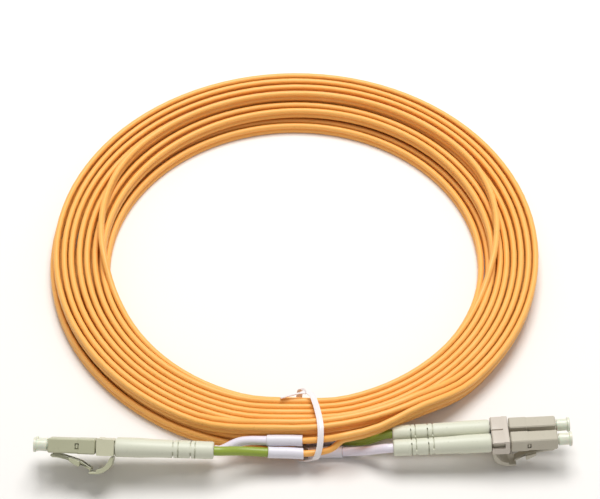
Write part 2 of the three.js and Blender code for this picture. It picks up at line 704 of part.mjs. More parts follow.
// Points chosen along each leg between its boot and the coil, placed beside the coil.
const LEG_POINTS = {
  a1: [[-16.5, 4.6, 8.3], [-7.2, 4.1, 6.2], [-1.6, 3.85, 5.9], [3.9, 3.6, 5.9], [9.5, 1.6, 7.4]],
  a2: [[-16.5, 0.2, 7.9], [-7.2, 0.7, 9.2], [-1.6, 0.6, 9.2], [3.9, 0.5, 9.2], [9.5, -0.4, 10.7]],
  b1: [[21.5, 0.9, 3.9], [14.5, 0, 2.1], [9.0, 0.1, 2.1], [3.6, 0.4, 2.1], [-4.0, 0.6, 3.3]],
  b2: [[22.5, -3.7, 3.0], [18.0, -4.1, 2.2], [13.0, -4.8, 2.1], [3.6, -4.2, 2.1], [-4.0, -2.1, 1.5]],
};
const LEG_IS_UPPER = { a1: false, a2: true, b1: true, b2: false };
const SLEEVE_FINISH = { a1: finish.green, a2: finish.white, b1: finish.white, b2: finish.green };

function legRoute(plug, number, id, end) {
  const axis = [LEG_START, (LEG_START + BOOT_BACK) / 2, BOOT_BACK, BOOT_BACK - 2].map(
    (x) => axisPoint(plug, number, x),
  );
  const chosen = LEG_POINTS[id].map((point) => besideCoil(...point));
  const rise = ((LEG_DIAMETER + WEB_HEIGHT) / 2) * (LEG_IS_UPPER[id] ? 1 : -1);
  const last = [2.5, SEAT_GAP].map((gap) => {
    const point = end.face.clone().addScaledVector(end.ahead, gap);
    return point.setZ(point.z + rise);
  });
  return new THREE.CatmullRomCurve3([...axis, ...chosen, ...last], false, 'centripetal');
}

function legPieces(plug, number, end, endSplit) {
  const id = `${end}${number}`;
  const route = legRoute(plug, number, id, endSplit);
  const length = route.getLength();
  const radius = LEG_DIAMETER / 2;
  const sleeveBore = radius + SLEEVE_GAP;
  const sleeveFrom = LEG_START - BOOT_BACK + SEAT_GAP;
  const sleeve = stations(sleeveFrom, sleeveFrom + SLEEVE_LENGTH, 5);
  const markerFrom = sleeveFrom + SLEEVE_LENGTH + SEAT_GAP;
  const marker = stations(markerFrom, markerFrom + MARKER_LENGTH, 3);
  const markerRadius = MARKER_DIAMETER / 2;
  const free = stations(markerFrom + MARKER_LENGTH, length, 5).slice(1);
  const leg = [0, ...sleeve, ...marker, ...free];
  return [
    mesh(`${id}_leg`, tubeAlong(route, leg, radius), finish.jacket),
    mesh(`${id}_sleeve`, tubeAlong(route, sleeve, sleeveBore + SLEEVE_WALL, sleeveBore), SLEEVE_FINISH[id]),
    mesh(`${id}_marker_tube`, tubeAlong(route, marker, markerRadius, markerRadius - MARKER_WALL), finish.white),
  ];
}

// ---- Twist tie ---------------------------------------------------------------------------------

// The strip's middle line, from a loose end lying on the inner turns, over the bundle, then under
// it and up inside the ring. The ends keep their place beside the inner turn, the rest beside the
// outer one.
const TIE_FIRST_END = [
  [-4, 5.46, 10.5], [-1.1, 4.16, 10.6], [2.1, 2.86, 10.8], [4.2, 2.16, 11], [5.8, 4.16, 11.4],
];
const TIE_OVER = [
  [6.8, -12.3, 11.6], [7.6, -7.8, 13.1], [8.3, -3, 13.8], [8.5, 0.6, 12.9], [8.2, 3.8, 10.4],
  [7.2, 6, 6.8], [5.4, 5.2, 3.2], [2.4, 2.6, 0.8], [1.5, 0, 0.45],
];
const TIE_SECOND_END = [
  [1.4, 10.16, 0.4], [1.4, 0.36, 0.45], [1.6, -2.34, 1.6], [1.9, -3.04, 4.6], [2.2, -3.04, 7.6],
  [2.4, -1.9, 9.6],
];

function tieLine() {
  const innerTurn = (TURN_PITCH * TURNS) / 2;
  const inside = ([along, out, up]) => besideCoil(along, out - innerTurn, up);
  return [...TIE_FIRST_END.map(inside), ...TIE_OVER.map((point) => besideCoil(...point)), ...TIE_SECOND_END.map(inside)];
}

function twistTie() {
  const middle = new THREE.CatmullRomCurve3(tieLine());
  const steps = 44;
  const rings = [];
  for (let step = 0; step <= steps; step += 1) {
    const point = middle.getPointAt(step / steps);
    const ahead = middle.getTangentAt(step / steps);
    const wide = new THREE.Vector3(1, 0, 0).addScaledVector(ahead, -ahead.x).normalize();
    if (wide.lengthSq() < 0.5) wide.set(0, 0, 1);
    const thick = new THREE.Vector3().crossVectors(ahead, wide);
    const corners = [[1, -1], [1, 1], [-1, 1], [-1, -1]];
    rings.push(corners.map(([a, b]) => point.clone()
      .addScaledVector(wide, (a * TIE_WIDTH) / 2)
      .addScaledVector(thick, (b * TIE_THICKNESS) / 2)));
  }
  return skin(rings);
}

// ---- Whole cord ----------------------------------------------------------------------------------

const patchCord = new THREE.Group();
patchCord.add(plugA, plugB);
patchCord.add(mesh('cord_coil', coil(), finish.jacket));
patchCord.add(...legPieces(plugA, 1, 'a', endA), ...legPieces(plugA, 2, 'a', endA));
patchCord.add(...legPieces(plugB, 1, 'b', endB), ...legPieces(plugB, 2, 'b', endB));
patchCord.add(mesh('twist_tie', twistTie(), finish.tie));

// The origin is under the middle of the whole cord, on the surface it lies on.
const bounds = new THREE.Box3().setFromObject(patchCord, true);
const middle = bounds.getCenter(new THREE.Vector3());
patchCord.position.set(-middle.x, -middle.y, 0);
patchCord.updateMatrixWorld(true);

export default patchCord;
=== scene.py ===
"""A duplex fibre patch cord: a zip cord wound in a flat coil and tied, with a capped duplex plug on
each end, lying on a pale table. Metres; +Z up, the plugs towards the viewer."""
import json
import math

import bmesh
import bpy
from mathutils import Matrix, Vector


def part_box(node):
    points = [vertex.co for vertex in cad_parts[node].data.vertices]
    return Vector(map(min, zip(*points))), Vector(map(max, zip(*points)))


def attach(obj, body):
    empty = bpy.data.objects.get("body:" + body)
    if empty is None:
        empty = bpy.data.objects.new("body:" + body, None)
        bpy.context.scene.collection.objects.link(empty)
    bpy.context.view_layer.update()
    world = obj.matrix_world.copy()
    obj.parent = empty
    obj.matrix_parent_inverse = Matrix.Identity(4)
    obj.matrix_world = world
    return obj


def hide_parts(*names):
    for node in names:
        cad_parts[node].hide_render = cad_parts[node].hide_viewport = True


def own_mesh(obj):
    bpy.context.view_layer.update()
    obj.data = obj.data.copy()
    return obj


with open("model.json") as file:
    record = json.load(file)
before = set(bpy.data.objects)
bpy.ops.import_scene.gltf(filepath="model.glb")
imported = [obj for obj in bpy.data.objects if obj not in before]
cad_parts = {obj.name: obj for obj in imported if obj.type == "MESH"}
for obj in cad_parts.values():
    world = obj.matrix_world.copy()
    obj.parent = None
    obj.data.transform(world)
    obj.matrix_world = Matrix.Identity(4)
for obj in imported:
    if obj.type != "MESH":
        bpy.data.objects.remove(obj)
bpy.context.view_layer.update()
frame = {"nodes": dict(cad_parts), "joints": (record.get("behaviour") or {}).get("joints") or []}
MM = 0.001


# ---- Camera -------------------------------------------------------------------------------------
# A long lens looks down on the coil from the side of the plugs, a little to the right of the
# coil's middle. The coil's own centre is found from its solid: its box is symmetric in X, and the
# far side is half a turn in from the outermost radius.

LEG_DIAMETER = 2.0 * MM
COIL_RADIUS = 82.0 * MM
TURN_PITCH = 2.52 * MM
coil_low, coil_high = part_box("cord_coil")
COIL_CENTRE = Vector((
    (coil_low[0] + coil_high[0]) / 2,
    coil_high[1] - (COIL_RADIUS - TURN_PITCH / 2 + LEG_DIAMETER / 2),
    0,
))

CAMERA_ELEVATION = math.radians(49.15)
CAMERA_DISTANCE = 678.25 * MM
CAMERA_LENS = 118.96
SENSOR_WIDTH = 36
NEAREST_SEEN = 10 * MM
LOOKED_AT = COIL_CENTRE + Vector((2.1, 3.6, 0)) * MM

to_camera = Vector((0, -math.cos(CAMERA_ELEVATION), math.sin(CAMERA_ELEVATION)))
camera = bpy.data.objects.new("camera", bpy.data.cameras.new("camera"))
camera.data.lens = CAMERA_LENS
camera.data.sensor_width = SENSOR_WIDTH
camera.data.clip_start = NEAREST_SEEN
camera.location = LOOKED_AT + to_camera * CAMERA_DISTANCE
camera.rotation_mode = "QUATERNION"
camera.rotation_quaternion = (-to_camera).to_track_quat("-Z", "Y")
bpy.context.scene.collection.objects.link(camera)
bpy.context.scene.camera = camera


# ---- Zip cord coil ------------------------------------------------------------------------------
# Two 2 mm legs joined by a thin web, extruded in an orange low-smoke jacket. The cord stands on
# edge, spirals in through a lower layer and out again through an upper one, sixteen turns in all,
# and is wound by hand: the turns wander, part in two groups far from the tie and stray once.


class Wire:
    """A number in a node tree, so that shader maths reads as plain sums."""

    def __init__(self, nodes, socket):
        self.nodes = nodes
        self.socket = socket

    def math(self, operation, first, second):
        return self.nodes.node("Math", {"operation": operation}, _0=first, _1=second)

    def __add__(self, other):
        return self.math("ADD", self, other)

    def __radd__(self, other):
        return self.math("ADD", other, self)

    def __sub__(self, other):
        return self.math("SUBTRACT", self, other)

    def __rsub__(self, other):
        return self.math("SUBTRACT", other, self)

    def __mul__(self, other):
        return self.math("MULTIPLY", self, other)

    def __rmul__(self, other):
        return self.math("MULTIPLY", other, self)


class Nodes:
    """A node tree being filled, of a material or of the surroundings."""

    def __init__(self, tree):
        self.tree = tree

    def feed(self, slot, value):
        if isinstance(value, Wire):
            self.tree.links.new(value.socket, slot)
        else:
            slot.default_value = value

    def node(self, kind, settings=None, output=0, **inputs):
        """A node: its settings first, then its sockets by name, or by number as in _2."""
        made = self.tree.nodes.new("ShaderNode" + kind)
        for key, value in (settings or {}).items():
            setattr(made, key, value)
        for key, value in inputs.items():
            slot = int(key[1:]) if key[0] == "_" else key.replace("_", " ")
            self.feed(made.inputs[slot], value)
        return Wire(self, made.outputs[output])

    def seen_directly(self):
        """1 for what the camera, a mirror or a glass shows, and 0 for light on things."""
        camera_ray = self.node("LightPath", output="Is Camera Ray")
        glossy_ray = self.node("LightPath", output="Is Glossy Ray")
        through_ray = self.node("LightPath", output="Is Transmission Ray")
        return self.node("Clamp", Value=camera_ray + glossy_ray + through_ray)


class Finish(Nodes):
    """A material being made: fixed numbers go straight on the shader, wires into its sockets."""

    def __init__(self, name, **fixed):
        self.material = bpy.data.materials.new(name)
        self.material.use_nodes = True
        super().__init__(self.material.node_tree)
        self.shader = self.tree.nodes["Principled BSDF"]
        for socket, value in fixed.items():
            self.shader.inputs[socket.replace("_", " ")].default_value = value

    def join(self, socket, wire):
        self.feed(self.shader.inputs[socket], wire)

    def mix(self, share, first, second):
        return self.node("Mix", {"data_type": "RGBA"}, output=2, _0=share, _6=first, _7=second)

    def place(self):
        return self.node("TexCoord", output="Object")

    def noise(self, scale, detail):
        return self.node("TexNoise", Vector=self.place(), Scale=scale, Detail=detail)


def shade(red, green, blue):
    """A colour as it looks on a screen, 0 to 255, as the shader's linear colour."""
    def linear(value):
        value /= 255
        return value / 12.92 if value <= 0.04045 else ((value + 0.055) / 1.055) ** 2.4
    return (linear(red), linear(green), linear(blue), 1)


DRIFT_SCALE = 90
DRIFT_DETAIL = 3
GRAIN_SCALE = 1500
GRAIN_DETAIL = 4
GRAIN_DEPTH = 0.03 * MM
GLOSS_SPREAD = 0.12
SPECKS_FROM = 0.62
SPECKS_TO = 0.72
SPECK_STRENGTH = 0.5
SPECK_DULLING = 0.8


def moulded(name, main, tint, roughness, grain=GRAIN_SCALE, bump=0.3, **fixed):
    """A moulded or extruded plastic: a slow drift of tint, faint specks and a fine uneven gloss."""
    finish = Finish(name, **fixed)
    drift = finish.noise(DRIFT_SCALE, DRIFT_DETAIL)
    fine = finish.noise(grain, GRAIN_DETAIL)
    specks = finish.node("MapRange", Value=fine, From_Min=SPECKS_FROM, From_Max=SPECKS_TO)
    dulled = tuple(value * SPECK_DULLING for value in tint[:3]) + (1,)
    plain = finish.mix(drift, main, tint)
    finish.join("Base Color", finish.mix(specks * SPECK_STRENGTH, plain, dulled))
    finish.join("Roughness", roughness + (fine - 0.5) * GLOSS_SPREAD)
    finish.join("Normal", finish.node("Bump", Height=fine, Strength=bump, Distance=GRAIN_DEPTH))
    return finish.material


JACKET = moulded(
    "orange_jacket", shade(248, 184, 98), shade(241, 171, 78), 0.42, grain=1300,
    Specular_IOR_Level=0.45,
)

CREASE_ANGLE = math.radians(40)
WELD_REACH = 0.0001 * MM


def welded(mesh):
    """Joins points that coincide and turns all faces outward."""
    weld = bmesh.new()
    weld.from_mesh(mesh)
    bmesh.ops.remove_doubles(weld, verts=weld.verts, dist=WELD_REACH)
    bmesh.ops.recalc_face_normals(weld, faces=weld.faces)
    weld.to_mesh(mesh)
    weld.free()
    return mesh


def finished(name, mesh, material, matrix=None):
    """An object from a mesh, placed, given its material, and smooth except at its creases."""
    thing = bpy.data.objects.new(name, mesh)
    bpy.context.scene.collection.objects.link(thing)
    mesh.materials.append(material)
    for face in mesh.polygons:
        face.use_smooth = True
    mesh.set_sharp_from_angle(angle=CREASE_ANGLE)
    if matrix is not None:
        thing.matrix_world = matrix
    return thing


def bevelled(thing, kind, width, segments, angle):
    """Small rounds, left as a modifier, on the edges steeper than an angle in degrees."""
    rounds = thing.modifiers.new(kind, "BEVEL")
    rounds.width, rounds.segments = width, segments
    rounds.limit_method, rounds.angle_limit = "ANGLE", math.radians(angle)
    return rounds


def around(sides):
    """Equal angles once round."""
    return [2 * math.pi * side / sides for side in range(sides)]


def loft(name, rings, capped=True):
    """A mesh through a row of rings of equally many points."""
    sides = len(rings[0])
    points = [point for ring in rings for point in ring]
    faces = []
    for ring in range(len(rings) - 1):
        for side in range(sides):
            first = ring * sides + side
            after = ring * sides + (side + 1) % sides
            faces.append((first, after, after + sides, first + sides))
    if capped:
        last = (len(rings) - 1) * sides
        faces.append(tuple(reversed(range(sides))))
        faces.append(tuple(range(last, last + sides)))
    mesh = bpy.data.meshes.new(name)
    mesh.from_pydata(points, [], faces)
    mesh.validate()
    mesh.update()
    return mesh


WEB_HEIGHT = 0.1 * MM
CORD_HEIGHT = 2 * LEG_DIAMETER + WEB_HEIGHT
LEG_ARC = math.radians(160)
ARC_STEPS = 10


def zip_section():
    """Two round legs one above the other and the thin web between them."""
    radius = LEG_DIAMETER / 2
    centre = radius + WEB_HEIGHT / 2
    arc = [math.pi / 2 - LEG_ARC + 2 * LEG_ARC * step / ARC_STEPS for step in range(ARC_STEPS + 1)]
    upper = [(radius * math.cos(a), centre + radius * math.sin(a)) for a in arc]
    lower = [(-across, -up) for across, up in upper]
    return upper + lower


TURNS = 16
CAD_STEPS = 24
FINE_STEPS = 96
FIRST_TURN = 1 / CAD_STEPS
LAST_TURN = TURNS - 1 / CAD_STEPS

# Heights: the lowest turns are pressed a little flat, the layers lie loosely on each other, and the
# outer turns rise in a hump over the tails, in degrees before and after the tie.
FLAT_DEPTH = 0.1 * CORD_HEIGHT
LAYER_RISE = CORD_HEIGHT + 0.45 * MM
TAIL_LIFT = FLAT_DEPTH + 0.1 * MM
TAIL_SETTLES = (15, 30)
HUMP_TURNS = (1, 2, TURNS - 2, TURNS - 1, TURNS)
HUMP_HEIGHT = 4.6 * MM
HUMP_RISES = (-45, -28)
HUMP_FALLS = (2, 24)
TIE_HUMP = 1.4 * MM
TIE_REACH = 15

# By hand: the pitch, wider across from the tie, and slow waves in the turns' places and heights.
MIDDLE_PITCH = 2.51 * MM
FAR_SPREAD = 0.425 * MM
LEFT_SPREAD = 0.1 * MM
WANDER = 0.3 * MM
WANDER_WAVE = 4.1
WANDER_START = 0.7
WANDER_RIPPLE = 11.3
UNEVEN_HEIGHT = 0.5 * MM
UNEVEN_NEAR = 0.3
UNEVEN_WAVE = 7.7
UNEVEN_START = 2.0

# The gap between the two groups, the one turn that strays over the others, in shares of its turn,
# and the last stretch, which leaves the coil for the plug.
FAR_GAP = 1.5 * MM
GAP_TURNS = (2.6, 3.4)
STRAY_TURN = 8
STRAY_LEAVES = (0.17, 0.36)
STRAY_RETURNS = (0.66, 0.83)
STRAY_OUT = 8.0 * MM
STRAY_LIFT = 4.1 * MM
STRAY_CLIMB = 0.25
TAIL_OUT = 2.2 * MM
TAIL_TURN = 0.08


def smooth(value, start, end):
    """0 before the start, 1 after the end, and eased between them."""
    share = min(max((value - start) / (end - start), 0), 1)
    return share * share * (3 - 2 * share)


def lift(turn):
    """How far the cord is raised near the tie, where it crosses the tails."""
    near = round(turn)
    offset = (turn - near) * 360
    if near == 0:
        return TAIL_LIFT * (1 - smooth(offset, *TAIL_SETTLES))
    hump = 0
    if near in HUMP_TURNS:
        hump = HUMP_HEIGHT * smooth(offset, *HUMP_RISES) * (1 - smooth(offset, *HUMP_FALLS))
    return max(hump, TIE_HUMP * (1 - smooth(abs(offset), 0, TIE_REACH)))


def stray(turn):
    """The share, 0 to 1, by which the straying turn is out of its place."""
    along = turn - STRAY_TURN
    return smooth(along, *STRAY_LEAVES) * (1 - smooth(along, *STRAY_RETURNS))


def coil_point(turn):
    """Angle, radius and height of the cord's middle line."""
    inward = min(turn, TURNS - turn)
    round_share = 2 * math.pi * turn
    farness = (1 - math.cos(round_share)) / 2
    pitch = MIDDLE_PITCH - FAR_SPREAD * math.cos(round_share) + LEFT_SPREAD * math.sin(round_share)
    radius = COIL_RADIUS - pitch * inward
    radius -= FAR_GAP * farness ** 4 * (smooth(inward, *GAP_TURNS) - inward / (TURNS / 2))
    wave = math.sin(WANDER_WAVE * turn + WANDER_START)
    radius += WANDER * farness * wave * math.sin(WANDER_RIPPLE * turn)
    radius += STRAY_OUT * stray(turn)
    radius += TAIL_OUT * smooth(turn, TURNS - TAIL_TURN, LAST_TURN)
    layer = min(max((turn - TURNS / 2) * 2 + 0.5, 0), 1)
    loose = UNEVEN_NEAR + (1 - UNEVEN_NEAR) * farness
    swell = (1 + math.sin(UNEVEN_WAVE * turn + UNEVEN_START)) / 2
    uneven = UNEVEN_HEIGHT * layer * loose * swell
    over = STRAY_LIFT * smooth(stray(turn), 0, STRAY_CLIMB)
    height = CORD_HEIGHT / 2 - FLAT_DEPTH / 2 + LAYER_RISE * layer + lift(turn) + uneven + over
    return -math.pi / 2 - round_share, radius, height


def coil_ring(turn, forward=0.0):
    """The cord's middle and its section, upright and square to the turn."""
    angle, radius, height = coil_point(turn)
    outward = Vector((math.cos(angle), math.sin(angle), 0))
    ahead = Vector((outward.y, -outward.x, 0))
    middle = COIL_CENTRE + outward * radius + ahead * forward + Vector((0, 0, height))
    return middle, [middle + outward * across + Vector((0, 0, up)) for across, up in zip_section()]


def length_of(line):
    return sum((b - a).length for a, b in zip(line, line[1:]))


step_count = round((LAST_TURN - FIRST_TURN) * FINE_STEPS)
coil_turns = [FIRST_TURN + (LAST_TURN - FIRST_TURN) * n / step_count for n in range(step_count + 1)]
coil_line = [
    coil_ring(FIRST_TURN, -CORD_HEIGHT),
    *(coil_ring(turn) for turn in coil_turns),
    coil_ring(LAST_TURN, CORD_HEIGHT),
]
coil_path = [middle for middle, ring in coil_line]
coil_mesh = loft("zip_cord_coil", [ring for middle, ring in coil_line])
coil = finished("zip_cord_coil", coil_mesh, JACKET)
round(length_of(coil_path), 2)
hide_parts("cord_coil")
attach(coil, "cord")


# ---- Connector places ---------------------------------------------------------------------------
# Each plug carries two connectors side by side, and their joints say where they are. A connector's
# own axes are +X out of its front face along the ferrule and +Z towards its latch, and its origin
# is the middle of the front face.

TRIGGER_PIVOT = Vector((-19.65, 0, 3.45)) * MM
CONNECTORS = ("a1", "a2", "b1", "b2")
joints = {joint["name"]: joint for joint in frame["joints"]}


def connector_matrix(name):
    ahead = Vector(joints[f"{name}_cap_pull"]["axis"]).normalized()
    across = Vector(joints[f"{name}_trigger_press"]["axis"]).normalized()
    up = ahead.cross(across)
    turn = Matrix((ahead, across, up)).transposed()
    origin = Vector(joints[f"{name}_trigger_press"]["pos_m"]) - turn @ TRIGGER_PIVOT
    return Matrix.Translation(origin) @ turn.to_4x4()


place = {name: connector_matrix(name) for name in CONNECTORS}


# ---- Legs ---------------------------------------------------------------------------------------
# Past the coil the zip cord is torn along its web, and each round leg, in the same orange jacket,
# runs by itself into its boot, where it is crimped. The chosen points lead from boot to coil.

LEG_START = -27.2 * MM
BOOT_BACK = -50.8 * MM
LEG_SIDES = 20
LEG_SPACING = 0.8 * MM
STRAIGHT_END = 2.0 * MM
SPLIT_RUN = 2.5 * MM

# The turn that a leg leaves, the way it goes there, and whether it is the upper or lower leg.
LEG_ENDS = {
    "a1": (LAST_TURN, 1, -1),
    "a2": (LAST_TURN, 1, 1),
    "b1": (FIRST_TURN, -1, 1),
    "b2": (FIRST_TURN, -1, -1),
}
LEG_POINTS = {
    "a1": (
        (-16.5, -86.6, 9.2), (-7.2, -86.1, 7.7), (-1.6, -85.95, 7.3), (3.9, -86.0, 7.0),
        (11.5, -84.9, 7.6),
    ),
    "a2": (
        (-16.5, -82.2, 7.9), (-7.2, -82.7, 9.2), (-1.6, -82.6, 9.2), (3.9, -82.7, 9.2),
        (11.5, -83.0, 10.8),
    ),
    "b1": (
        (21.5, -82.9, 3.9), (14.5, -82.0, 2.1), (9.0, -82.1, 2.1), (3.6, -82.4, 2.1),
        (-4.0, -82.6, 3.3),
    ),
    "b2": (
        (22.5, -78.3, 3.0), (18.0, -77.9, 2.2), (13.0, -77.2, 2.1), (3.6, -77.8, 2.1),
        (-4.0, -79.9, 1.5),
    ),
}


def centripetal(points, spacing):
    """Points close together on the smooth centripetal curve through the given ones."""
    ends = [points[0] * 2 - points[1], *points, points[-1] * 2 - points[-2]]
    line = []
    for before, start, end, after in zip(ends, ends[1:], ends[2:], ends[3:]):
        knots = [0.0]
        for a, b in ((before, start), (start, end), (end, after)):
            knots.append(knots[-1] + max((b - a).length, 1e-9) ** 0.5)
        count = max(2, round((end - start).length / spacing))
        for step in range(count):
            at = knots[1] + (knots[2] - knots[1]) * step / count

            def blend(a, b, low, high):
                return a * ((high - at) / (high - low)) + b * ((at - low) / (high - low))

            first = blend(before, start, knots[0], knots[1])
            second = blend(start, end, knots[1], knots[2])
            third = blend(end, after, knots[2], knots[3])
            early = blend(first, second, knots[0], knots[2])
            late = blend(second, third, knots[1], knots[3])
            line.append(blend(early, late, knots[1], knots[2]))
    return line + [points[-1]]


def leg_line(name):
    """A leg's middle line, straight through its boot and ending square on the cord's end."""
    in_boot = (LEG_START, (LEG_START + BOOT_BACK) / 2, BOOT_BACK, BOOT_BACK - STRAIGHT_END)
    straight = [place[name] @ Vector((x, 0, 0)) for x in in_boot]
    chosen = [COIL_CENTRE + Vector(point) * MM for point in LEG_POINTS[name]]
    turn, direction, upper = LEG_ENDS[name]
    angle, radius, height = coil_point(turn)
    ahead = Vector((math.sin(angle), -math.cos(angle), 0)) * direction
    face = COIL_CENTRE + Vector((radius * math.cos(angle), radius * math.sin(angle), height))
    face = face + ahead * CORD_HEIGHT + Vector((0, 0, upper * (LEG_DIAMETER + WEB_HEIGHT) / 2))
    return centripetal([*straight, *chosen, face + ahead * SPLIT_RUN, face], LEG_SPACING)


def way_at(line, number):
    """The direction of a line at one of its points, from the points on either side."""
    return line[min(number + 1, len(line) - 1)] - line[max(number - 1, 0)]


def upright_rings(line, radius, sides):
    """Round rings square to a line, their first points all on the same side of it."""
    rings = []
    for number, point in enumerate(line):
        ahead = way_at(line, number)
        across = ahead.cross(Vector((0, 0, 1))).normalized()
        below = ahead.cross(across).normalized()
        rings.append([
            point + (across * math.cos(turn) + below * math.sin(turn)) * radius
            for turn in around(sides)
        ])
    return rings


leg_lines = {name: leg_line(name) for name in CONNECTORS}
for name, line in leg_lines.items():
    leg_name = f"{name}_round_leg"
    leg_mesh = loft(leg_name, upright_rings(line, LEG_DIAMETER / 2, LEG_SIDES))
    leg = finished(leg_name, leg_mesh, JACKET)
    round(length_of(line), 4)
    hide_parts(f"{name}_leg")
    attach(leg, "cord")


# ---- Coloured sleeves and marker tubes ----------------------------------------------------------
# A thin heat-shrink sleeve, shrunk on each leg at the boot, tells the two fibres apart, green and
# white. A looser white marker tube is pushed over the leg next to it.

SLEEVE_LENGTH = 16.6 * MM
SLEEVE_OUTER = 1.45 * MM
SLEEVE_INNER = 1.15 * MM
MARKER_LENGTH = 11.0 * MM
MARKER_OUTER = 1.8 * MM
MARKER_INNER = 1.2 * MM
TUBE_SIDES = 24
SEAT_GAP = 0.3 * MM
SNUG = 0.22 * MM
GREEN_LEGS = ("a1", "b2")
WHITE_SLEEVE = moulded("white_sleeve", shade(232, 224, 234), shade(222, 214, 226), 0.35)
GREEN_SLEEVE = moulded("green_sleeve", shade(146, 164, 54), shade(132, 150, 44), 0.35)
MARKER_WHITE = moulded("marker_white", shade(228, 224, 230), shade(214, 210, 218), 0.4)


def part_of(line, start, end):
    """The stretch of a line between two distances along it."""
    picked, run = [], 0.0
    for a, b in zip(line, line[1:]):
        step = (b - a).length
        for edge in (start, end):
            if run <= edge < run + step:
                picked.append(a.lerp(b, (edge - run) / step))
        if start < run + step < end:
            picked.append(b)
        run += step
    return picked


def tube(name, line, outer, inner, material):
    """An open tube with a wall, its two rims rounded by a small bevel."""
    outside = upright_rings(line, outer, TUBE_SIDES)
    inside = upright_rings(line, inner, TUBE_SIDES)
    wall = outside + inside[::-1] + outside[:1]
    made = finished(name, welded(loft(name, wall, capped=False)), material)
    bevelled(made, "rim", 0.1 * MM, 3, 50)
    return made


for name, line in leg_lines.items():
    sleeve_start = LEG_START - BOOT_BACK + SEAT_GAP
    sleeve_end = sleeve_start + SLEEVE_LENGTH
    marker_start = sleeve_end + SEAT_GAP
    sleeve_line = part_of(line, sleeve_start - SNUG, sleeve_end + SNUG)
    marker_line = part_of(line, marker_start, marker_start + MARKER_LENGTH)
    colour = GREEN_SLEEVE if name in GREEN_LEGS else WHITE_SLEEVE
    sleeve = tube(f"{name}_heat_shrink", sleeve_line, SLEEVE_OUTER, SLEEVE_INNER, colour)
    marker = tube(f"{name}_marker", marker_line, MARKER_OUTER, MARKER_INNER, MARKER_WHITE)
    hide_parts(f"{name}_sleeve")
    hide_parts(f"{name}_marker_tube")
    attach(sleeve, "cord")
    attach(marker, "cord")


# ---- Twist tie ----------------------------------------------------------------------------------
# A white plastic strip with a thin wire in its middle. It is bent once round the coil and the
# tails, and its two ends lie over each other inside the ring, the loose one turned on edge.

TIE_WIDTH = 1.9 * MM
TIE_EDGE = 0.1 * MM
TIE_CORE = 0.3 * MM
CORE_SHARE = 0.3
TIE_STEPS = 8
TIE_SPACING = 0.5 * MM
TIE_POINTS = (
    (-4.0, -67.3, 10.5), (-1.1, -66.4, 10.6), (2.1, -65.6, 10.8), (4.2, -65.2, 11.0),
    (5.8, -66.6, 11.4), (6.8, -69.7, 11.6), (7.6, -74.2, 13.1), (8.3, -79.0, 13.8),
    (8.5, -82.6, 12.9), (8.2, -85.8, 10.4), (7.2, -87.6, 7.2), (5.8, -86.1, 3.6),
    (2.8, -84.4, 0.9), (1.5, -82.0, 0.45), (1.4, -73.0, 0.4), (1.4, -65.2, 0.45),
    (1.6, -62.6, 1.6), (1.9, -61.9, 4.6), (2.2, -61.9, 7.2), (2.9, -62.8, 9.2),
)
FLAT_WAY = Vector((1, 0, 0))
ON_EDGE = Vector((0, -0.65, 0.76))
LOOSE_END = 4.5 * MM
UNTWIST = 4.5 * MM
TIE_PLASTIC = moulded(
    "tie_plastic", shade(238, 231, 229), shade(226, 218, 218), 0.3, Coat_Weight=0.3,
)


def tie_section():
    """A flat strip swollen in its middle by the wire."""
    top = []
    for step in range(TIE_STEPS + 1):
        across = -TIE_WIDTH / 2 + TIE_WIDTH * step / TIE_STEPS
        swell = math.exp(-((across / (CORE_SHARE * TIE_WIDTH)) ** 2))
        top.append((across, TIE_EDGE + (TIE_CORE - TIE_EDGE) * swell))
    return top + [(across, -height) for across, height in reversed(top)]


tie_line = centripetal([COIL_CENTRE + Vector(point) * MM for point in TIE_POINTS], TIE_SPACING)
tie_rings = []
run = 0.0
for number, point in enumerate(tie_line):
    ahead = way_at(tie_line, number).normalized()
    run += (point - tie_line[max(number - 1, 0)]).length
    across_way = FLAT_WAY.lerp(ON_EDGE, 1 - smooth(run, LOOSE_END, LOOSE_END + UNTWIST))
    wide = (across_way - ahead * ahead.dot(across_way)).normalized()
    thick = ahead.cross(wide)
    tie_rings.append([point - wide * across + thick * up for across, up in tie_section()])
tie = finished("tie_strip", loft("tie_strip", tie_rings), TIE_PLASTIC)
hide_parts("twist_tie")
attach(tie, "cord")


# ---- Connector bodies, latches, triggers and duplex clips ---------------------------------------
# Stiff beige plastic, injection moulded with crisp, slightly rounded edges. The latch bends at its
# root in front, and the trigger turns in the clip that snaps round both connectors of a plug. The
# pieces take the solids' own outlines and round them.

BODY_A = moulded("beige_body", shade(183, 182, 153), shade(171, 171, 140), 0.34, Coat_Weight=0.15)
CLIP_A = moulded("beige_clip", shade(204, 202, 174), shade(194, 192, 162), 0.34, Coat_Weight=0.15)
# Both plugs are the same plastic: the second plug's body and clip are painted paler and pinker than
# the first's, as painted light for the brighter light on that plug.
BODY_B = moulded("b_body_painted_lighter", shade(190, 183, 166), shade(178, 171, 152), 0.34, Coat_Weight=0.15)
CLIP_B = moulded("b_clip_painted_lighter", shade(206, 196, 184), shade(196, 186, 172), 0.34, Coat_Weight=0.15)
DUPLICATE_REACH = 0.002 * MM
FLAT_WITHIN = math.radians(1.5)


def rounded_copy(node, name, material, width, body):
    """A piece with the outline of a solid and small rounds on all its edges."""
    mesh = frame["nodes"][node].data.copy()
    mesh.materials.clear()
    weld = bmesh.new()
    weld.from_mesh(mesh)
    bmesh.ops.remove_doubles(weld, verts=weld.verts, dist=DUPLICATE_REACH)
    bmesh.ops.dissolve_limit(weld, angle_limit=FLAT_WITHIN, verts=weld.verts, edges=weld.edges)
    weld.to_mesh(mesh)
    weld.free()
    piece = finished(name, mesh, material)
    bevelled(piece, "rounds", width, 3, 35).harden_normals = True
    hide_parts(node)
    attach(piece, body)
    return piece


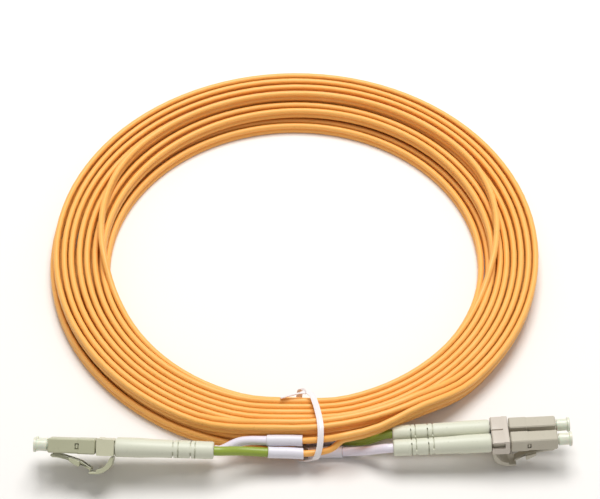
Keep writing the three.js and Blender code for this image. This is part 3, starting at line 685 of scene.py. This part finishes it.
for name in CONNECTORS:
    plastic = BODY_A if name[0] == "a" else BODY_B
    for node, piece_name, width, body in (
        ("housing", "body_shell", 0.12, "cord"),
        ("back_post", "post_body", 0.08, "cord"),
        ("latch", "latch_arm", 0.12, f"{name}_latch_body"),
        ("trigger", "trigger_arm", 0.15, f"{name}_trigger_body"),
    ):
        rounded_copy(f"{name}_{node}", f"{name}_{piece_name}", plastic, width * MM, body)
rounded_copy("a_duplex_clip", "a_pair_clip", CLIP_A, 0.12 * MM, "cord")
rounded_copy("b_duplex_clip", "b_pair_clip", CLIP_B, 0.12 * MM, "cord")


# ---- Boots --------------------------------------------------------------------------------------
# Soft pale mint rubber sleeves, moulded and pushed over the crimp rings, that carry the legs out of
# the connectors. Pairs of slots near the back let them bend. Sizes are in mm along the connector.

BOOT_RUBBER = moulded("boot_rubber", shade(216, 215, 197), shade(206, 208, 186), 0.45)
BOOT_FRONT = -20.6
BOOT_SIDES = 72

# The outside runs forward from the back rim, and the bore runs back again from the front rim.
BOOT_OUTSIDE = [
    (-50.8, 2.2), (-50.6, 2.45), (-50.2, 2.55), (-42.0, 2.6), (-34.6, 2.65), (-32.0, 2.7),
    (-28.1, 2.9), (-21.1, 2.9), (-20.8, 2.8), (BOOT_FRONT, 2.6),
]
BOOT_BORE = [(BOOT_FRONT, 2.2), (-27.5, 2.2), (-27.5, 1.2), (-50.8, 1.2)]
SLOT_PLACES = (17.7, 19.3, 23.1, 24.5)
SLOT_WIDTH = 0.4
SLOT_FLOOR = 1.85
SLOT_REACH = math.radians(150)


def boot_outside(x):
    """The boot's outer radius at a place along it."""
    for (back, first), (front, second) in zip(BOOT_OUTSIDE, BOOT_OUTSIDE[1:]):
        if back <= x <= front:
            return first + (second - first) * (x - back) / (front - back)
    return BOOT_OUTSIDE[-1][1]


def boot_ring(x, radius, slot_turn):
    """One ring of a boot. Where it runs through a slot, two opposite sides lie on its floor."""
    ring = []
    for turn in around(BOOT_SIDES):
        cut = False
        if slot_turn is not None:
            cut = abs(math.remainder(turn - slot_turn, math.pi)) < SLOT_REACH / 2
        width = SLOT_FLOOR if cut else radius
        ring.append(Vector((x, width * math.cos(turn), width * math.sin(turn))) * MM)
    return ring


def boot_mesh(name):
    """A sleeve with slots, each cut from two sides and a quarter turn from its neighbour."""
    rows = [(x, radius, None) for x, radius in BOOT_OUTSIDE]
    for number, behind in enumerate(SLOT_PLACES):
        slot_turn = 0 if number % 2 else math.pi / 2
        for edge, floor in ((-0.5, False), (-0.499, True), (0.499, True), (0.5, False)):
            x = BOOT_FRONT - behind + edge * SLOT_WIDTH
            rows.append((x, boot_outside(x), slot_turn if floor else None))
    rows.sort(key=lambda row: row[0])
    rows += [(x, radius, None) for x, radius in BOOT_BORE]
    rings = [boot_ring(*row) for row in rows]
    return welded(loft(name, rings + rings[:1], capped=False))


for name in CONNECTORS:
    boot_name = f"{name}_boot_sleeve"
    boot = finished(boot_name, boot_mesh(boot_name), BOOT_RUBBER, place[name])
    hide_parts(f"{name}_boot")
    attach(boot, "cord")


# ---- Dust caps ----------------------------------------------------------------------------------
# Soft milky plastic caps, moulded with a rim to pull them off by. Each is pushed over its ferrule
# and holds by friction. The profile is in mm along the connector and from its axis.

CAP_MILKY = moulded(
    "milky_cap", shade(220, 222, 204), shade(212, 215, 194), 0.3,
    Subsurface_Weight=0.15, Subsurface_Scale=0.8 * MM,
)
CAP_SIDES = 48
ON_AXIS = 0.0001
CAP_PROFILE = [
    (3.2, ON_AXIS), (3.2, 0.725), (-1.9, 0.725), (-1.9, 1.35), (-1.8, 1.45), (0.3, 1.45),
    (0.3, 1.8), (0.4, 1.9), (3.5, 1.85), (3.6, 1.95), (3.6, 2.2), (3.7, 2.3), (4.3, 2.3),
    (4.4, 2.2), (4.4, ON_AXIS),
]


def cap_mesh(name):
    """The cap's profile turned about the connector's axis."""
    rings = [
        [Vector((x, radius * math.cos(turn), radius * math.sin(turn))) * MM
         for turn in around(CAP_SIDES)]
        for x, radius in CAP_PROFILE
    ]
    return welded(loft(name, rings + rings[:1], capped=False))


for name in CONNECTORS:
    cap_name = f"{name}_soft_cap"
    cap = finished(cap_name, cap_mesh(cap_name), CAP_MILKY, place[name])
    bevelled(cap, "rounds", 0.08 * MM, 2, 40)
    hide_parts(f"{name}_dust_cap")
    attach(cap, f"{name}_cap_body")


# ---- Inner parts of the connectors --------------------------------------------------------------
# The white ceramic ferrule, ground and pressed in its plated flange, with a wound wire spring
# behind it, the plated crimp ring under the boot and the short buffered fibre. The spring stays in
# the post, on a mesh of its own; the real one is squashed as the ferrule floats back, this one is
# not.

CERAMIC = moulded(
    "zirconia", shade(246, 244, 238), shade(240, 238, 230), 0.15, bump=0.02, Coat_Weight=0.4,
)
PLATED = moulded("plated_metal", shade(196, 198, 202), shade(180, 183, 188), 0.28, Metallic=1.0)
BUFFER = moulded("buffer_white", shade(240, 240, 236), shade(230, 230, 226), 0.5)

for name in CONNECTORS:
    floating = f"{name}_ferrule_body"
    rounded_copy(f"{name}_ferrule", f"{name}_ceramic_ferrule", CERAMIC, 0.03 * MM, floating)
    rounded_copy(f"{name}_ferrule_flange", f"{name}_flange", PLATED, 0.03 * MM, floating)
    spring = rounded_copy(
        f"{name}_ferrule_spring", f"{name}_coil_spring", PLATED, 0.01 * MM, "cord",
    )
    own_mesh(spring)
    rounded_copy(f"{name}_crimp_ring", f"{name}_crimp_sleeve", PLATED, 0.05 * MM, "cord")
    rounded_copy(f"{name}_fibre", f"{name}_buffered_fibre", BUFFER, 0.03 * MM, "cord")


# ---- Table --------------------------------------------------------------------------------------
# A plain, matt, pale table top. Away from the cord it fades into a white surround for the camera,
# mirrors and glass only, and it keeps the cord's shadow.

TABLE_HALF = 3.0
FADE_FROM = 0.16
FADE_TO = 0.55
TABLE = Finish("table_top", Roughness=0.8)
TABLE.join("Base Color", TABLE.mix(TABLE.noise(6, 2), shade(240, 237, 233), shade(236, 233, 229)))
from_middle = TABLE.node("VectorMath", {"operation": "LENGTH"}, output="Value", _0=TABLE.place())
faded = TABLE.node(
    "MapRange", {"interpolation_type": "SMOOTHSTEP"},
    Value=from_middle, From_Min=FADE_FROM, From_Max=FADE_TO,
)
white = TABLE.node("Emission", Color=(1, 1, 1, 1), Strength=1.0)
whole_table = TABLE.node(
    "MixShader", _0=faded * TABLE.seen_directly(),
    _1=Wire(TABLE, TABLE.shader.outputs[0]), _2=white,
)
TABLE.feed(TABLE.tree.nodes["Material Output"].inputs["Surface"], whole_table)

table_mesh = bpy.data.meshes.new("table_top")
table_mesh.from_pydata([
    (-TABLE_HALF, -TABLE_HALF, 0), (TABLE_HALF, -TABLE_HALF, 0),
    (TABLE_HALF, TABLE_HALF, 0), (-TABLE_HALF, TABLE_HALF, 0),
], [], [(0, 1, 2, 3)])
finished("table_top", table_mesh, TABLE.material)


# ---- Light --------------------------------------------------------------------------------------
# One broad soft lamp hangs above and behind the coil, in a room that is white to look at and
# dimmer as light on things.

LAMP_PLACE = Vector((0.06, 0.3, 0.92))
LAMP_SIZE = 0.6
LAMP_POWER = 9.0
ROOM_LIGHT = 0.42

lamp = bpy.data.lights.new("overhead", "AREA")
lamp.shape, lamp.size, lamp.energy = "DISK", LAMP_SIZE, LAMP_POWER
overhead = bpy.data.objects.new("overhead", lamp)
overhead.location = LAMP_PLACE
overhead.rotation_mode = "QUATERNION"
overhead.rotation_quaternion = (-LAMP_PLACE).to_track_quat("-Z", "Y")
bpy.context.scene.collection.objects.link(overhead)

world = bpy.data.worlds.new("surround")
world.use_nodes = True
bpy.context.scene.world = world
surround = Nodes(world.node_tree)
room = world.node_tree.nodes["Background"]
room.inputs["Color"].default_value = (1, 1, 1, 1)
level = surround.node("MapRange", Value=surround.seen_directly(), To_Min=ROOM_LIGHT)
surround.feed(room.inputs["Strength"], level)

bpy.context.scene.view_settings.view_transform = "Standard"
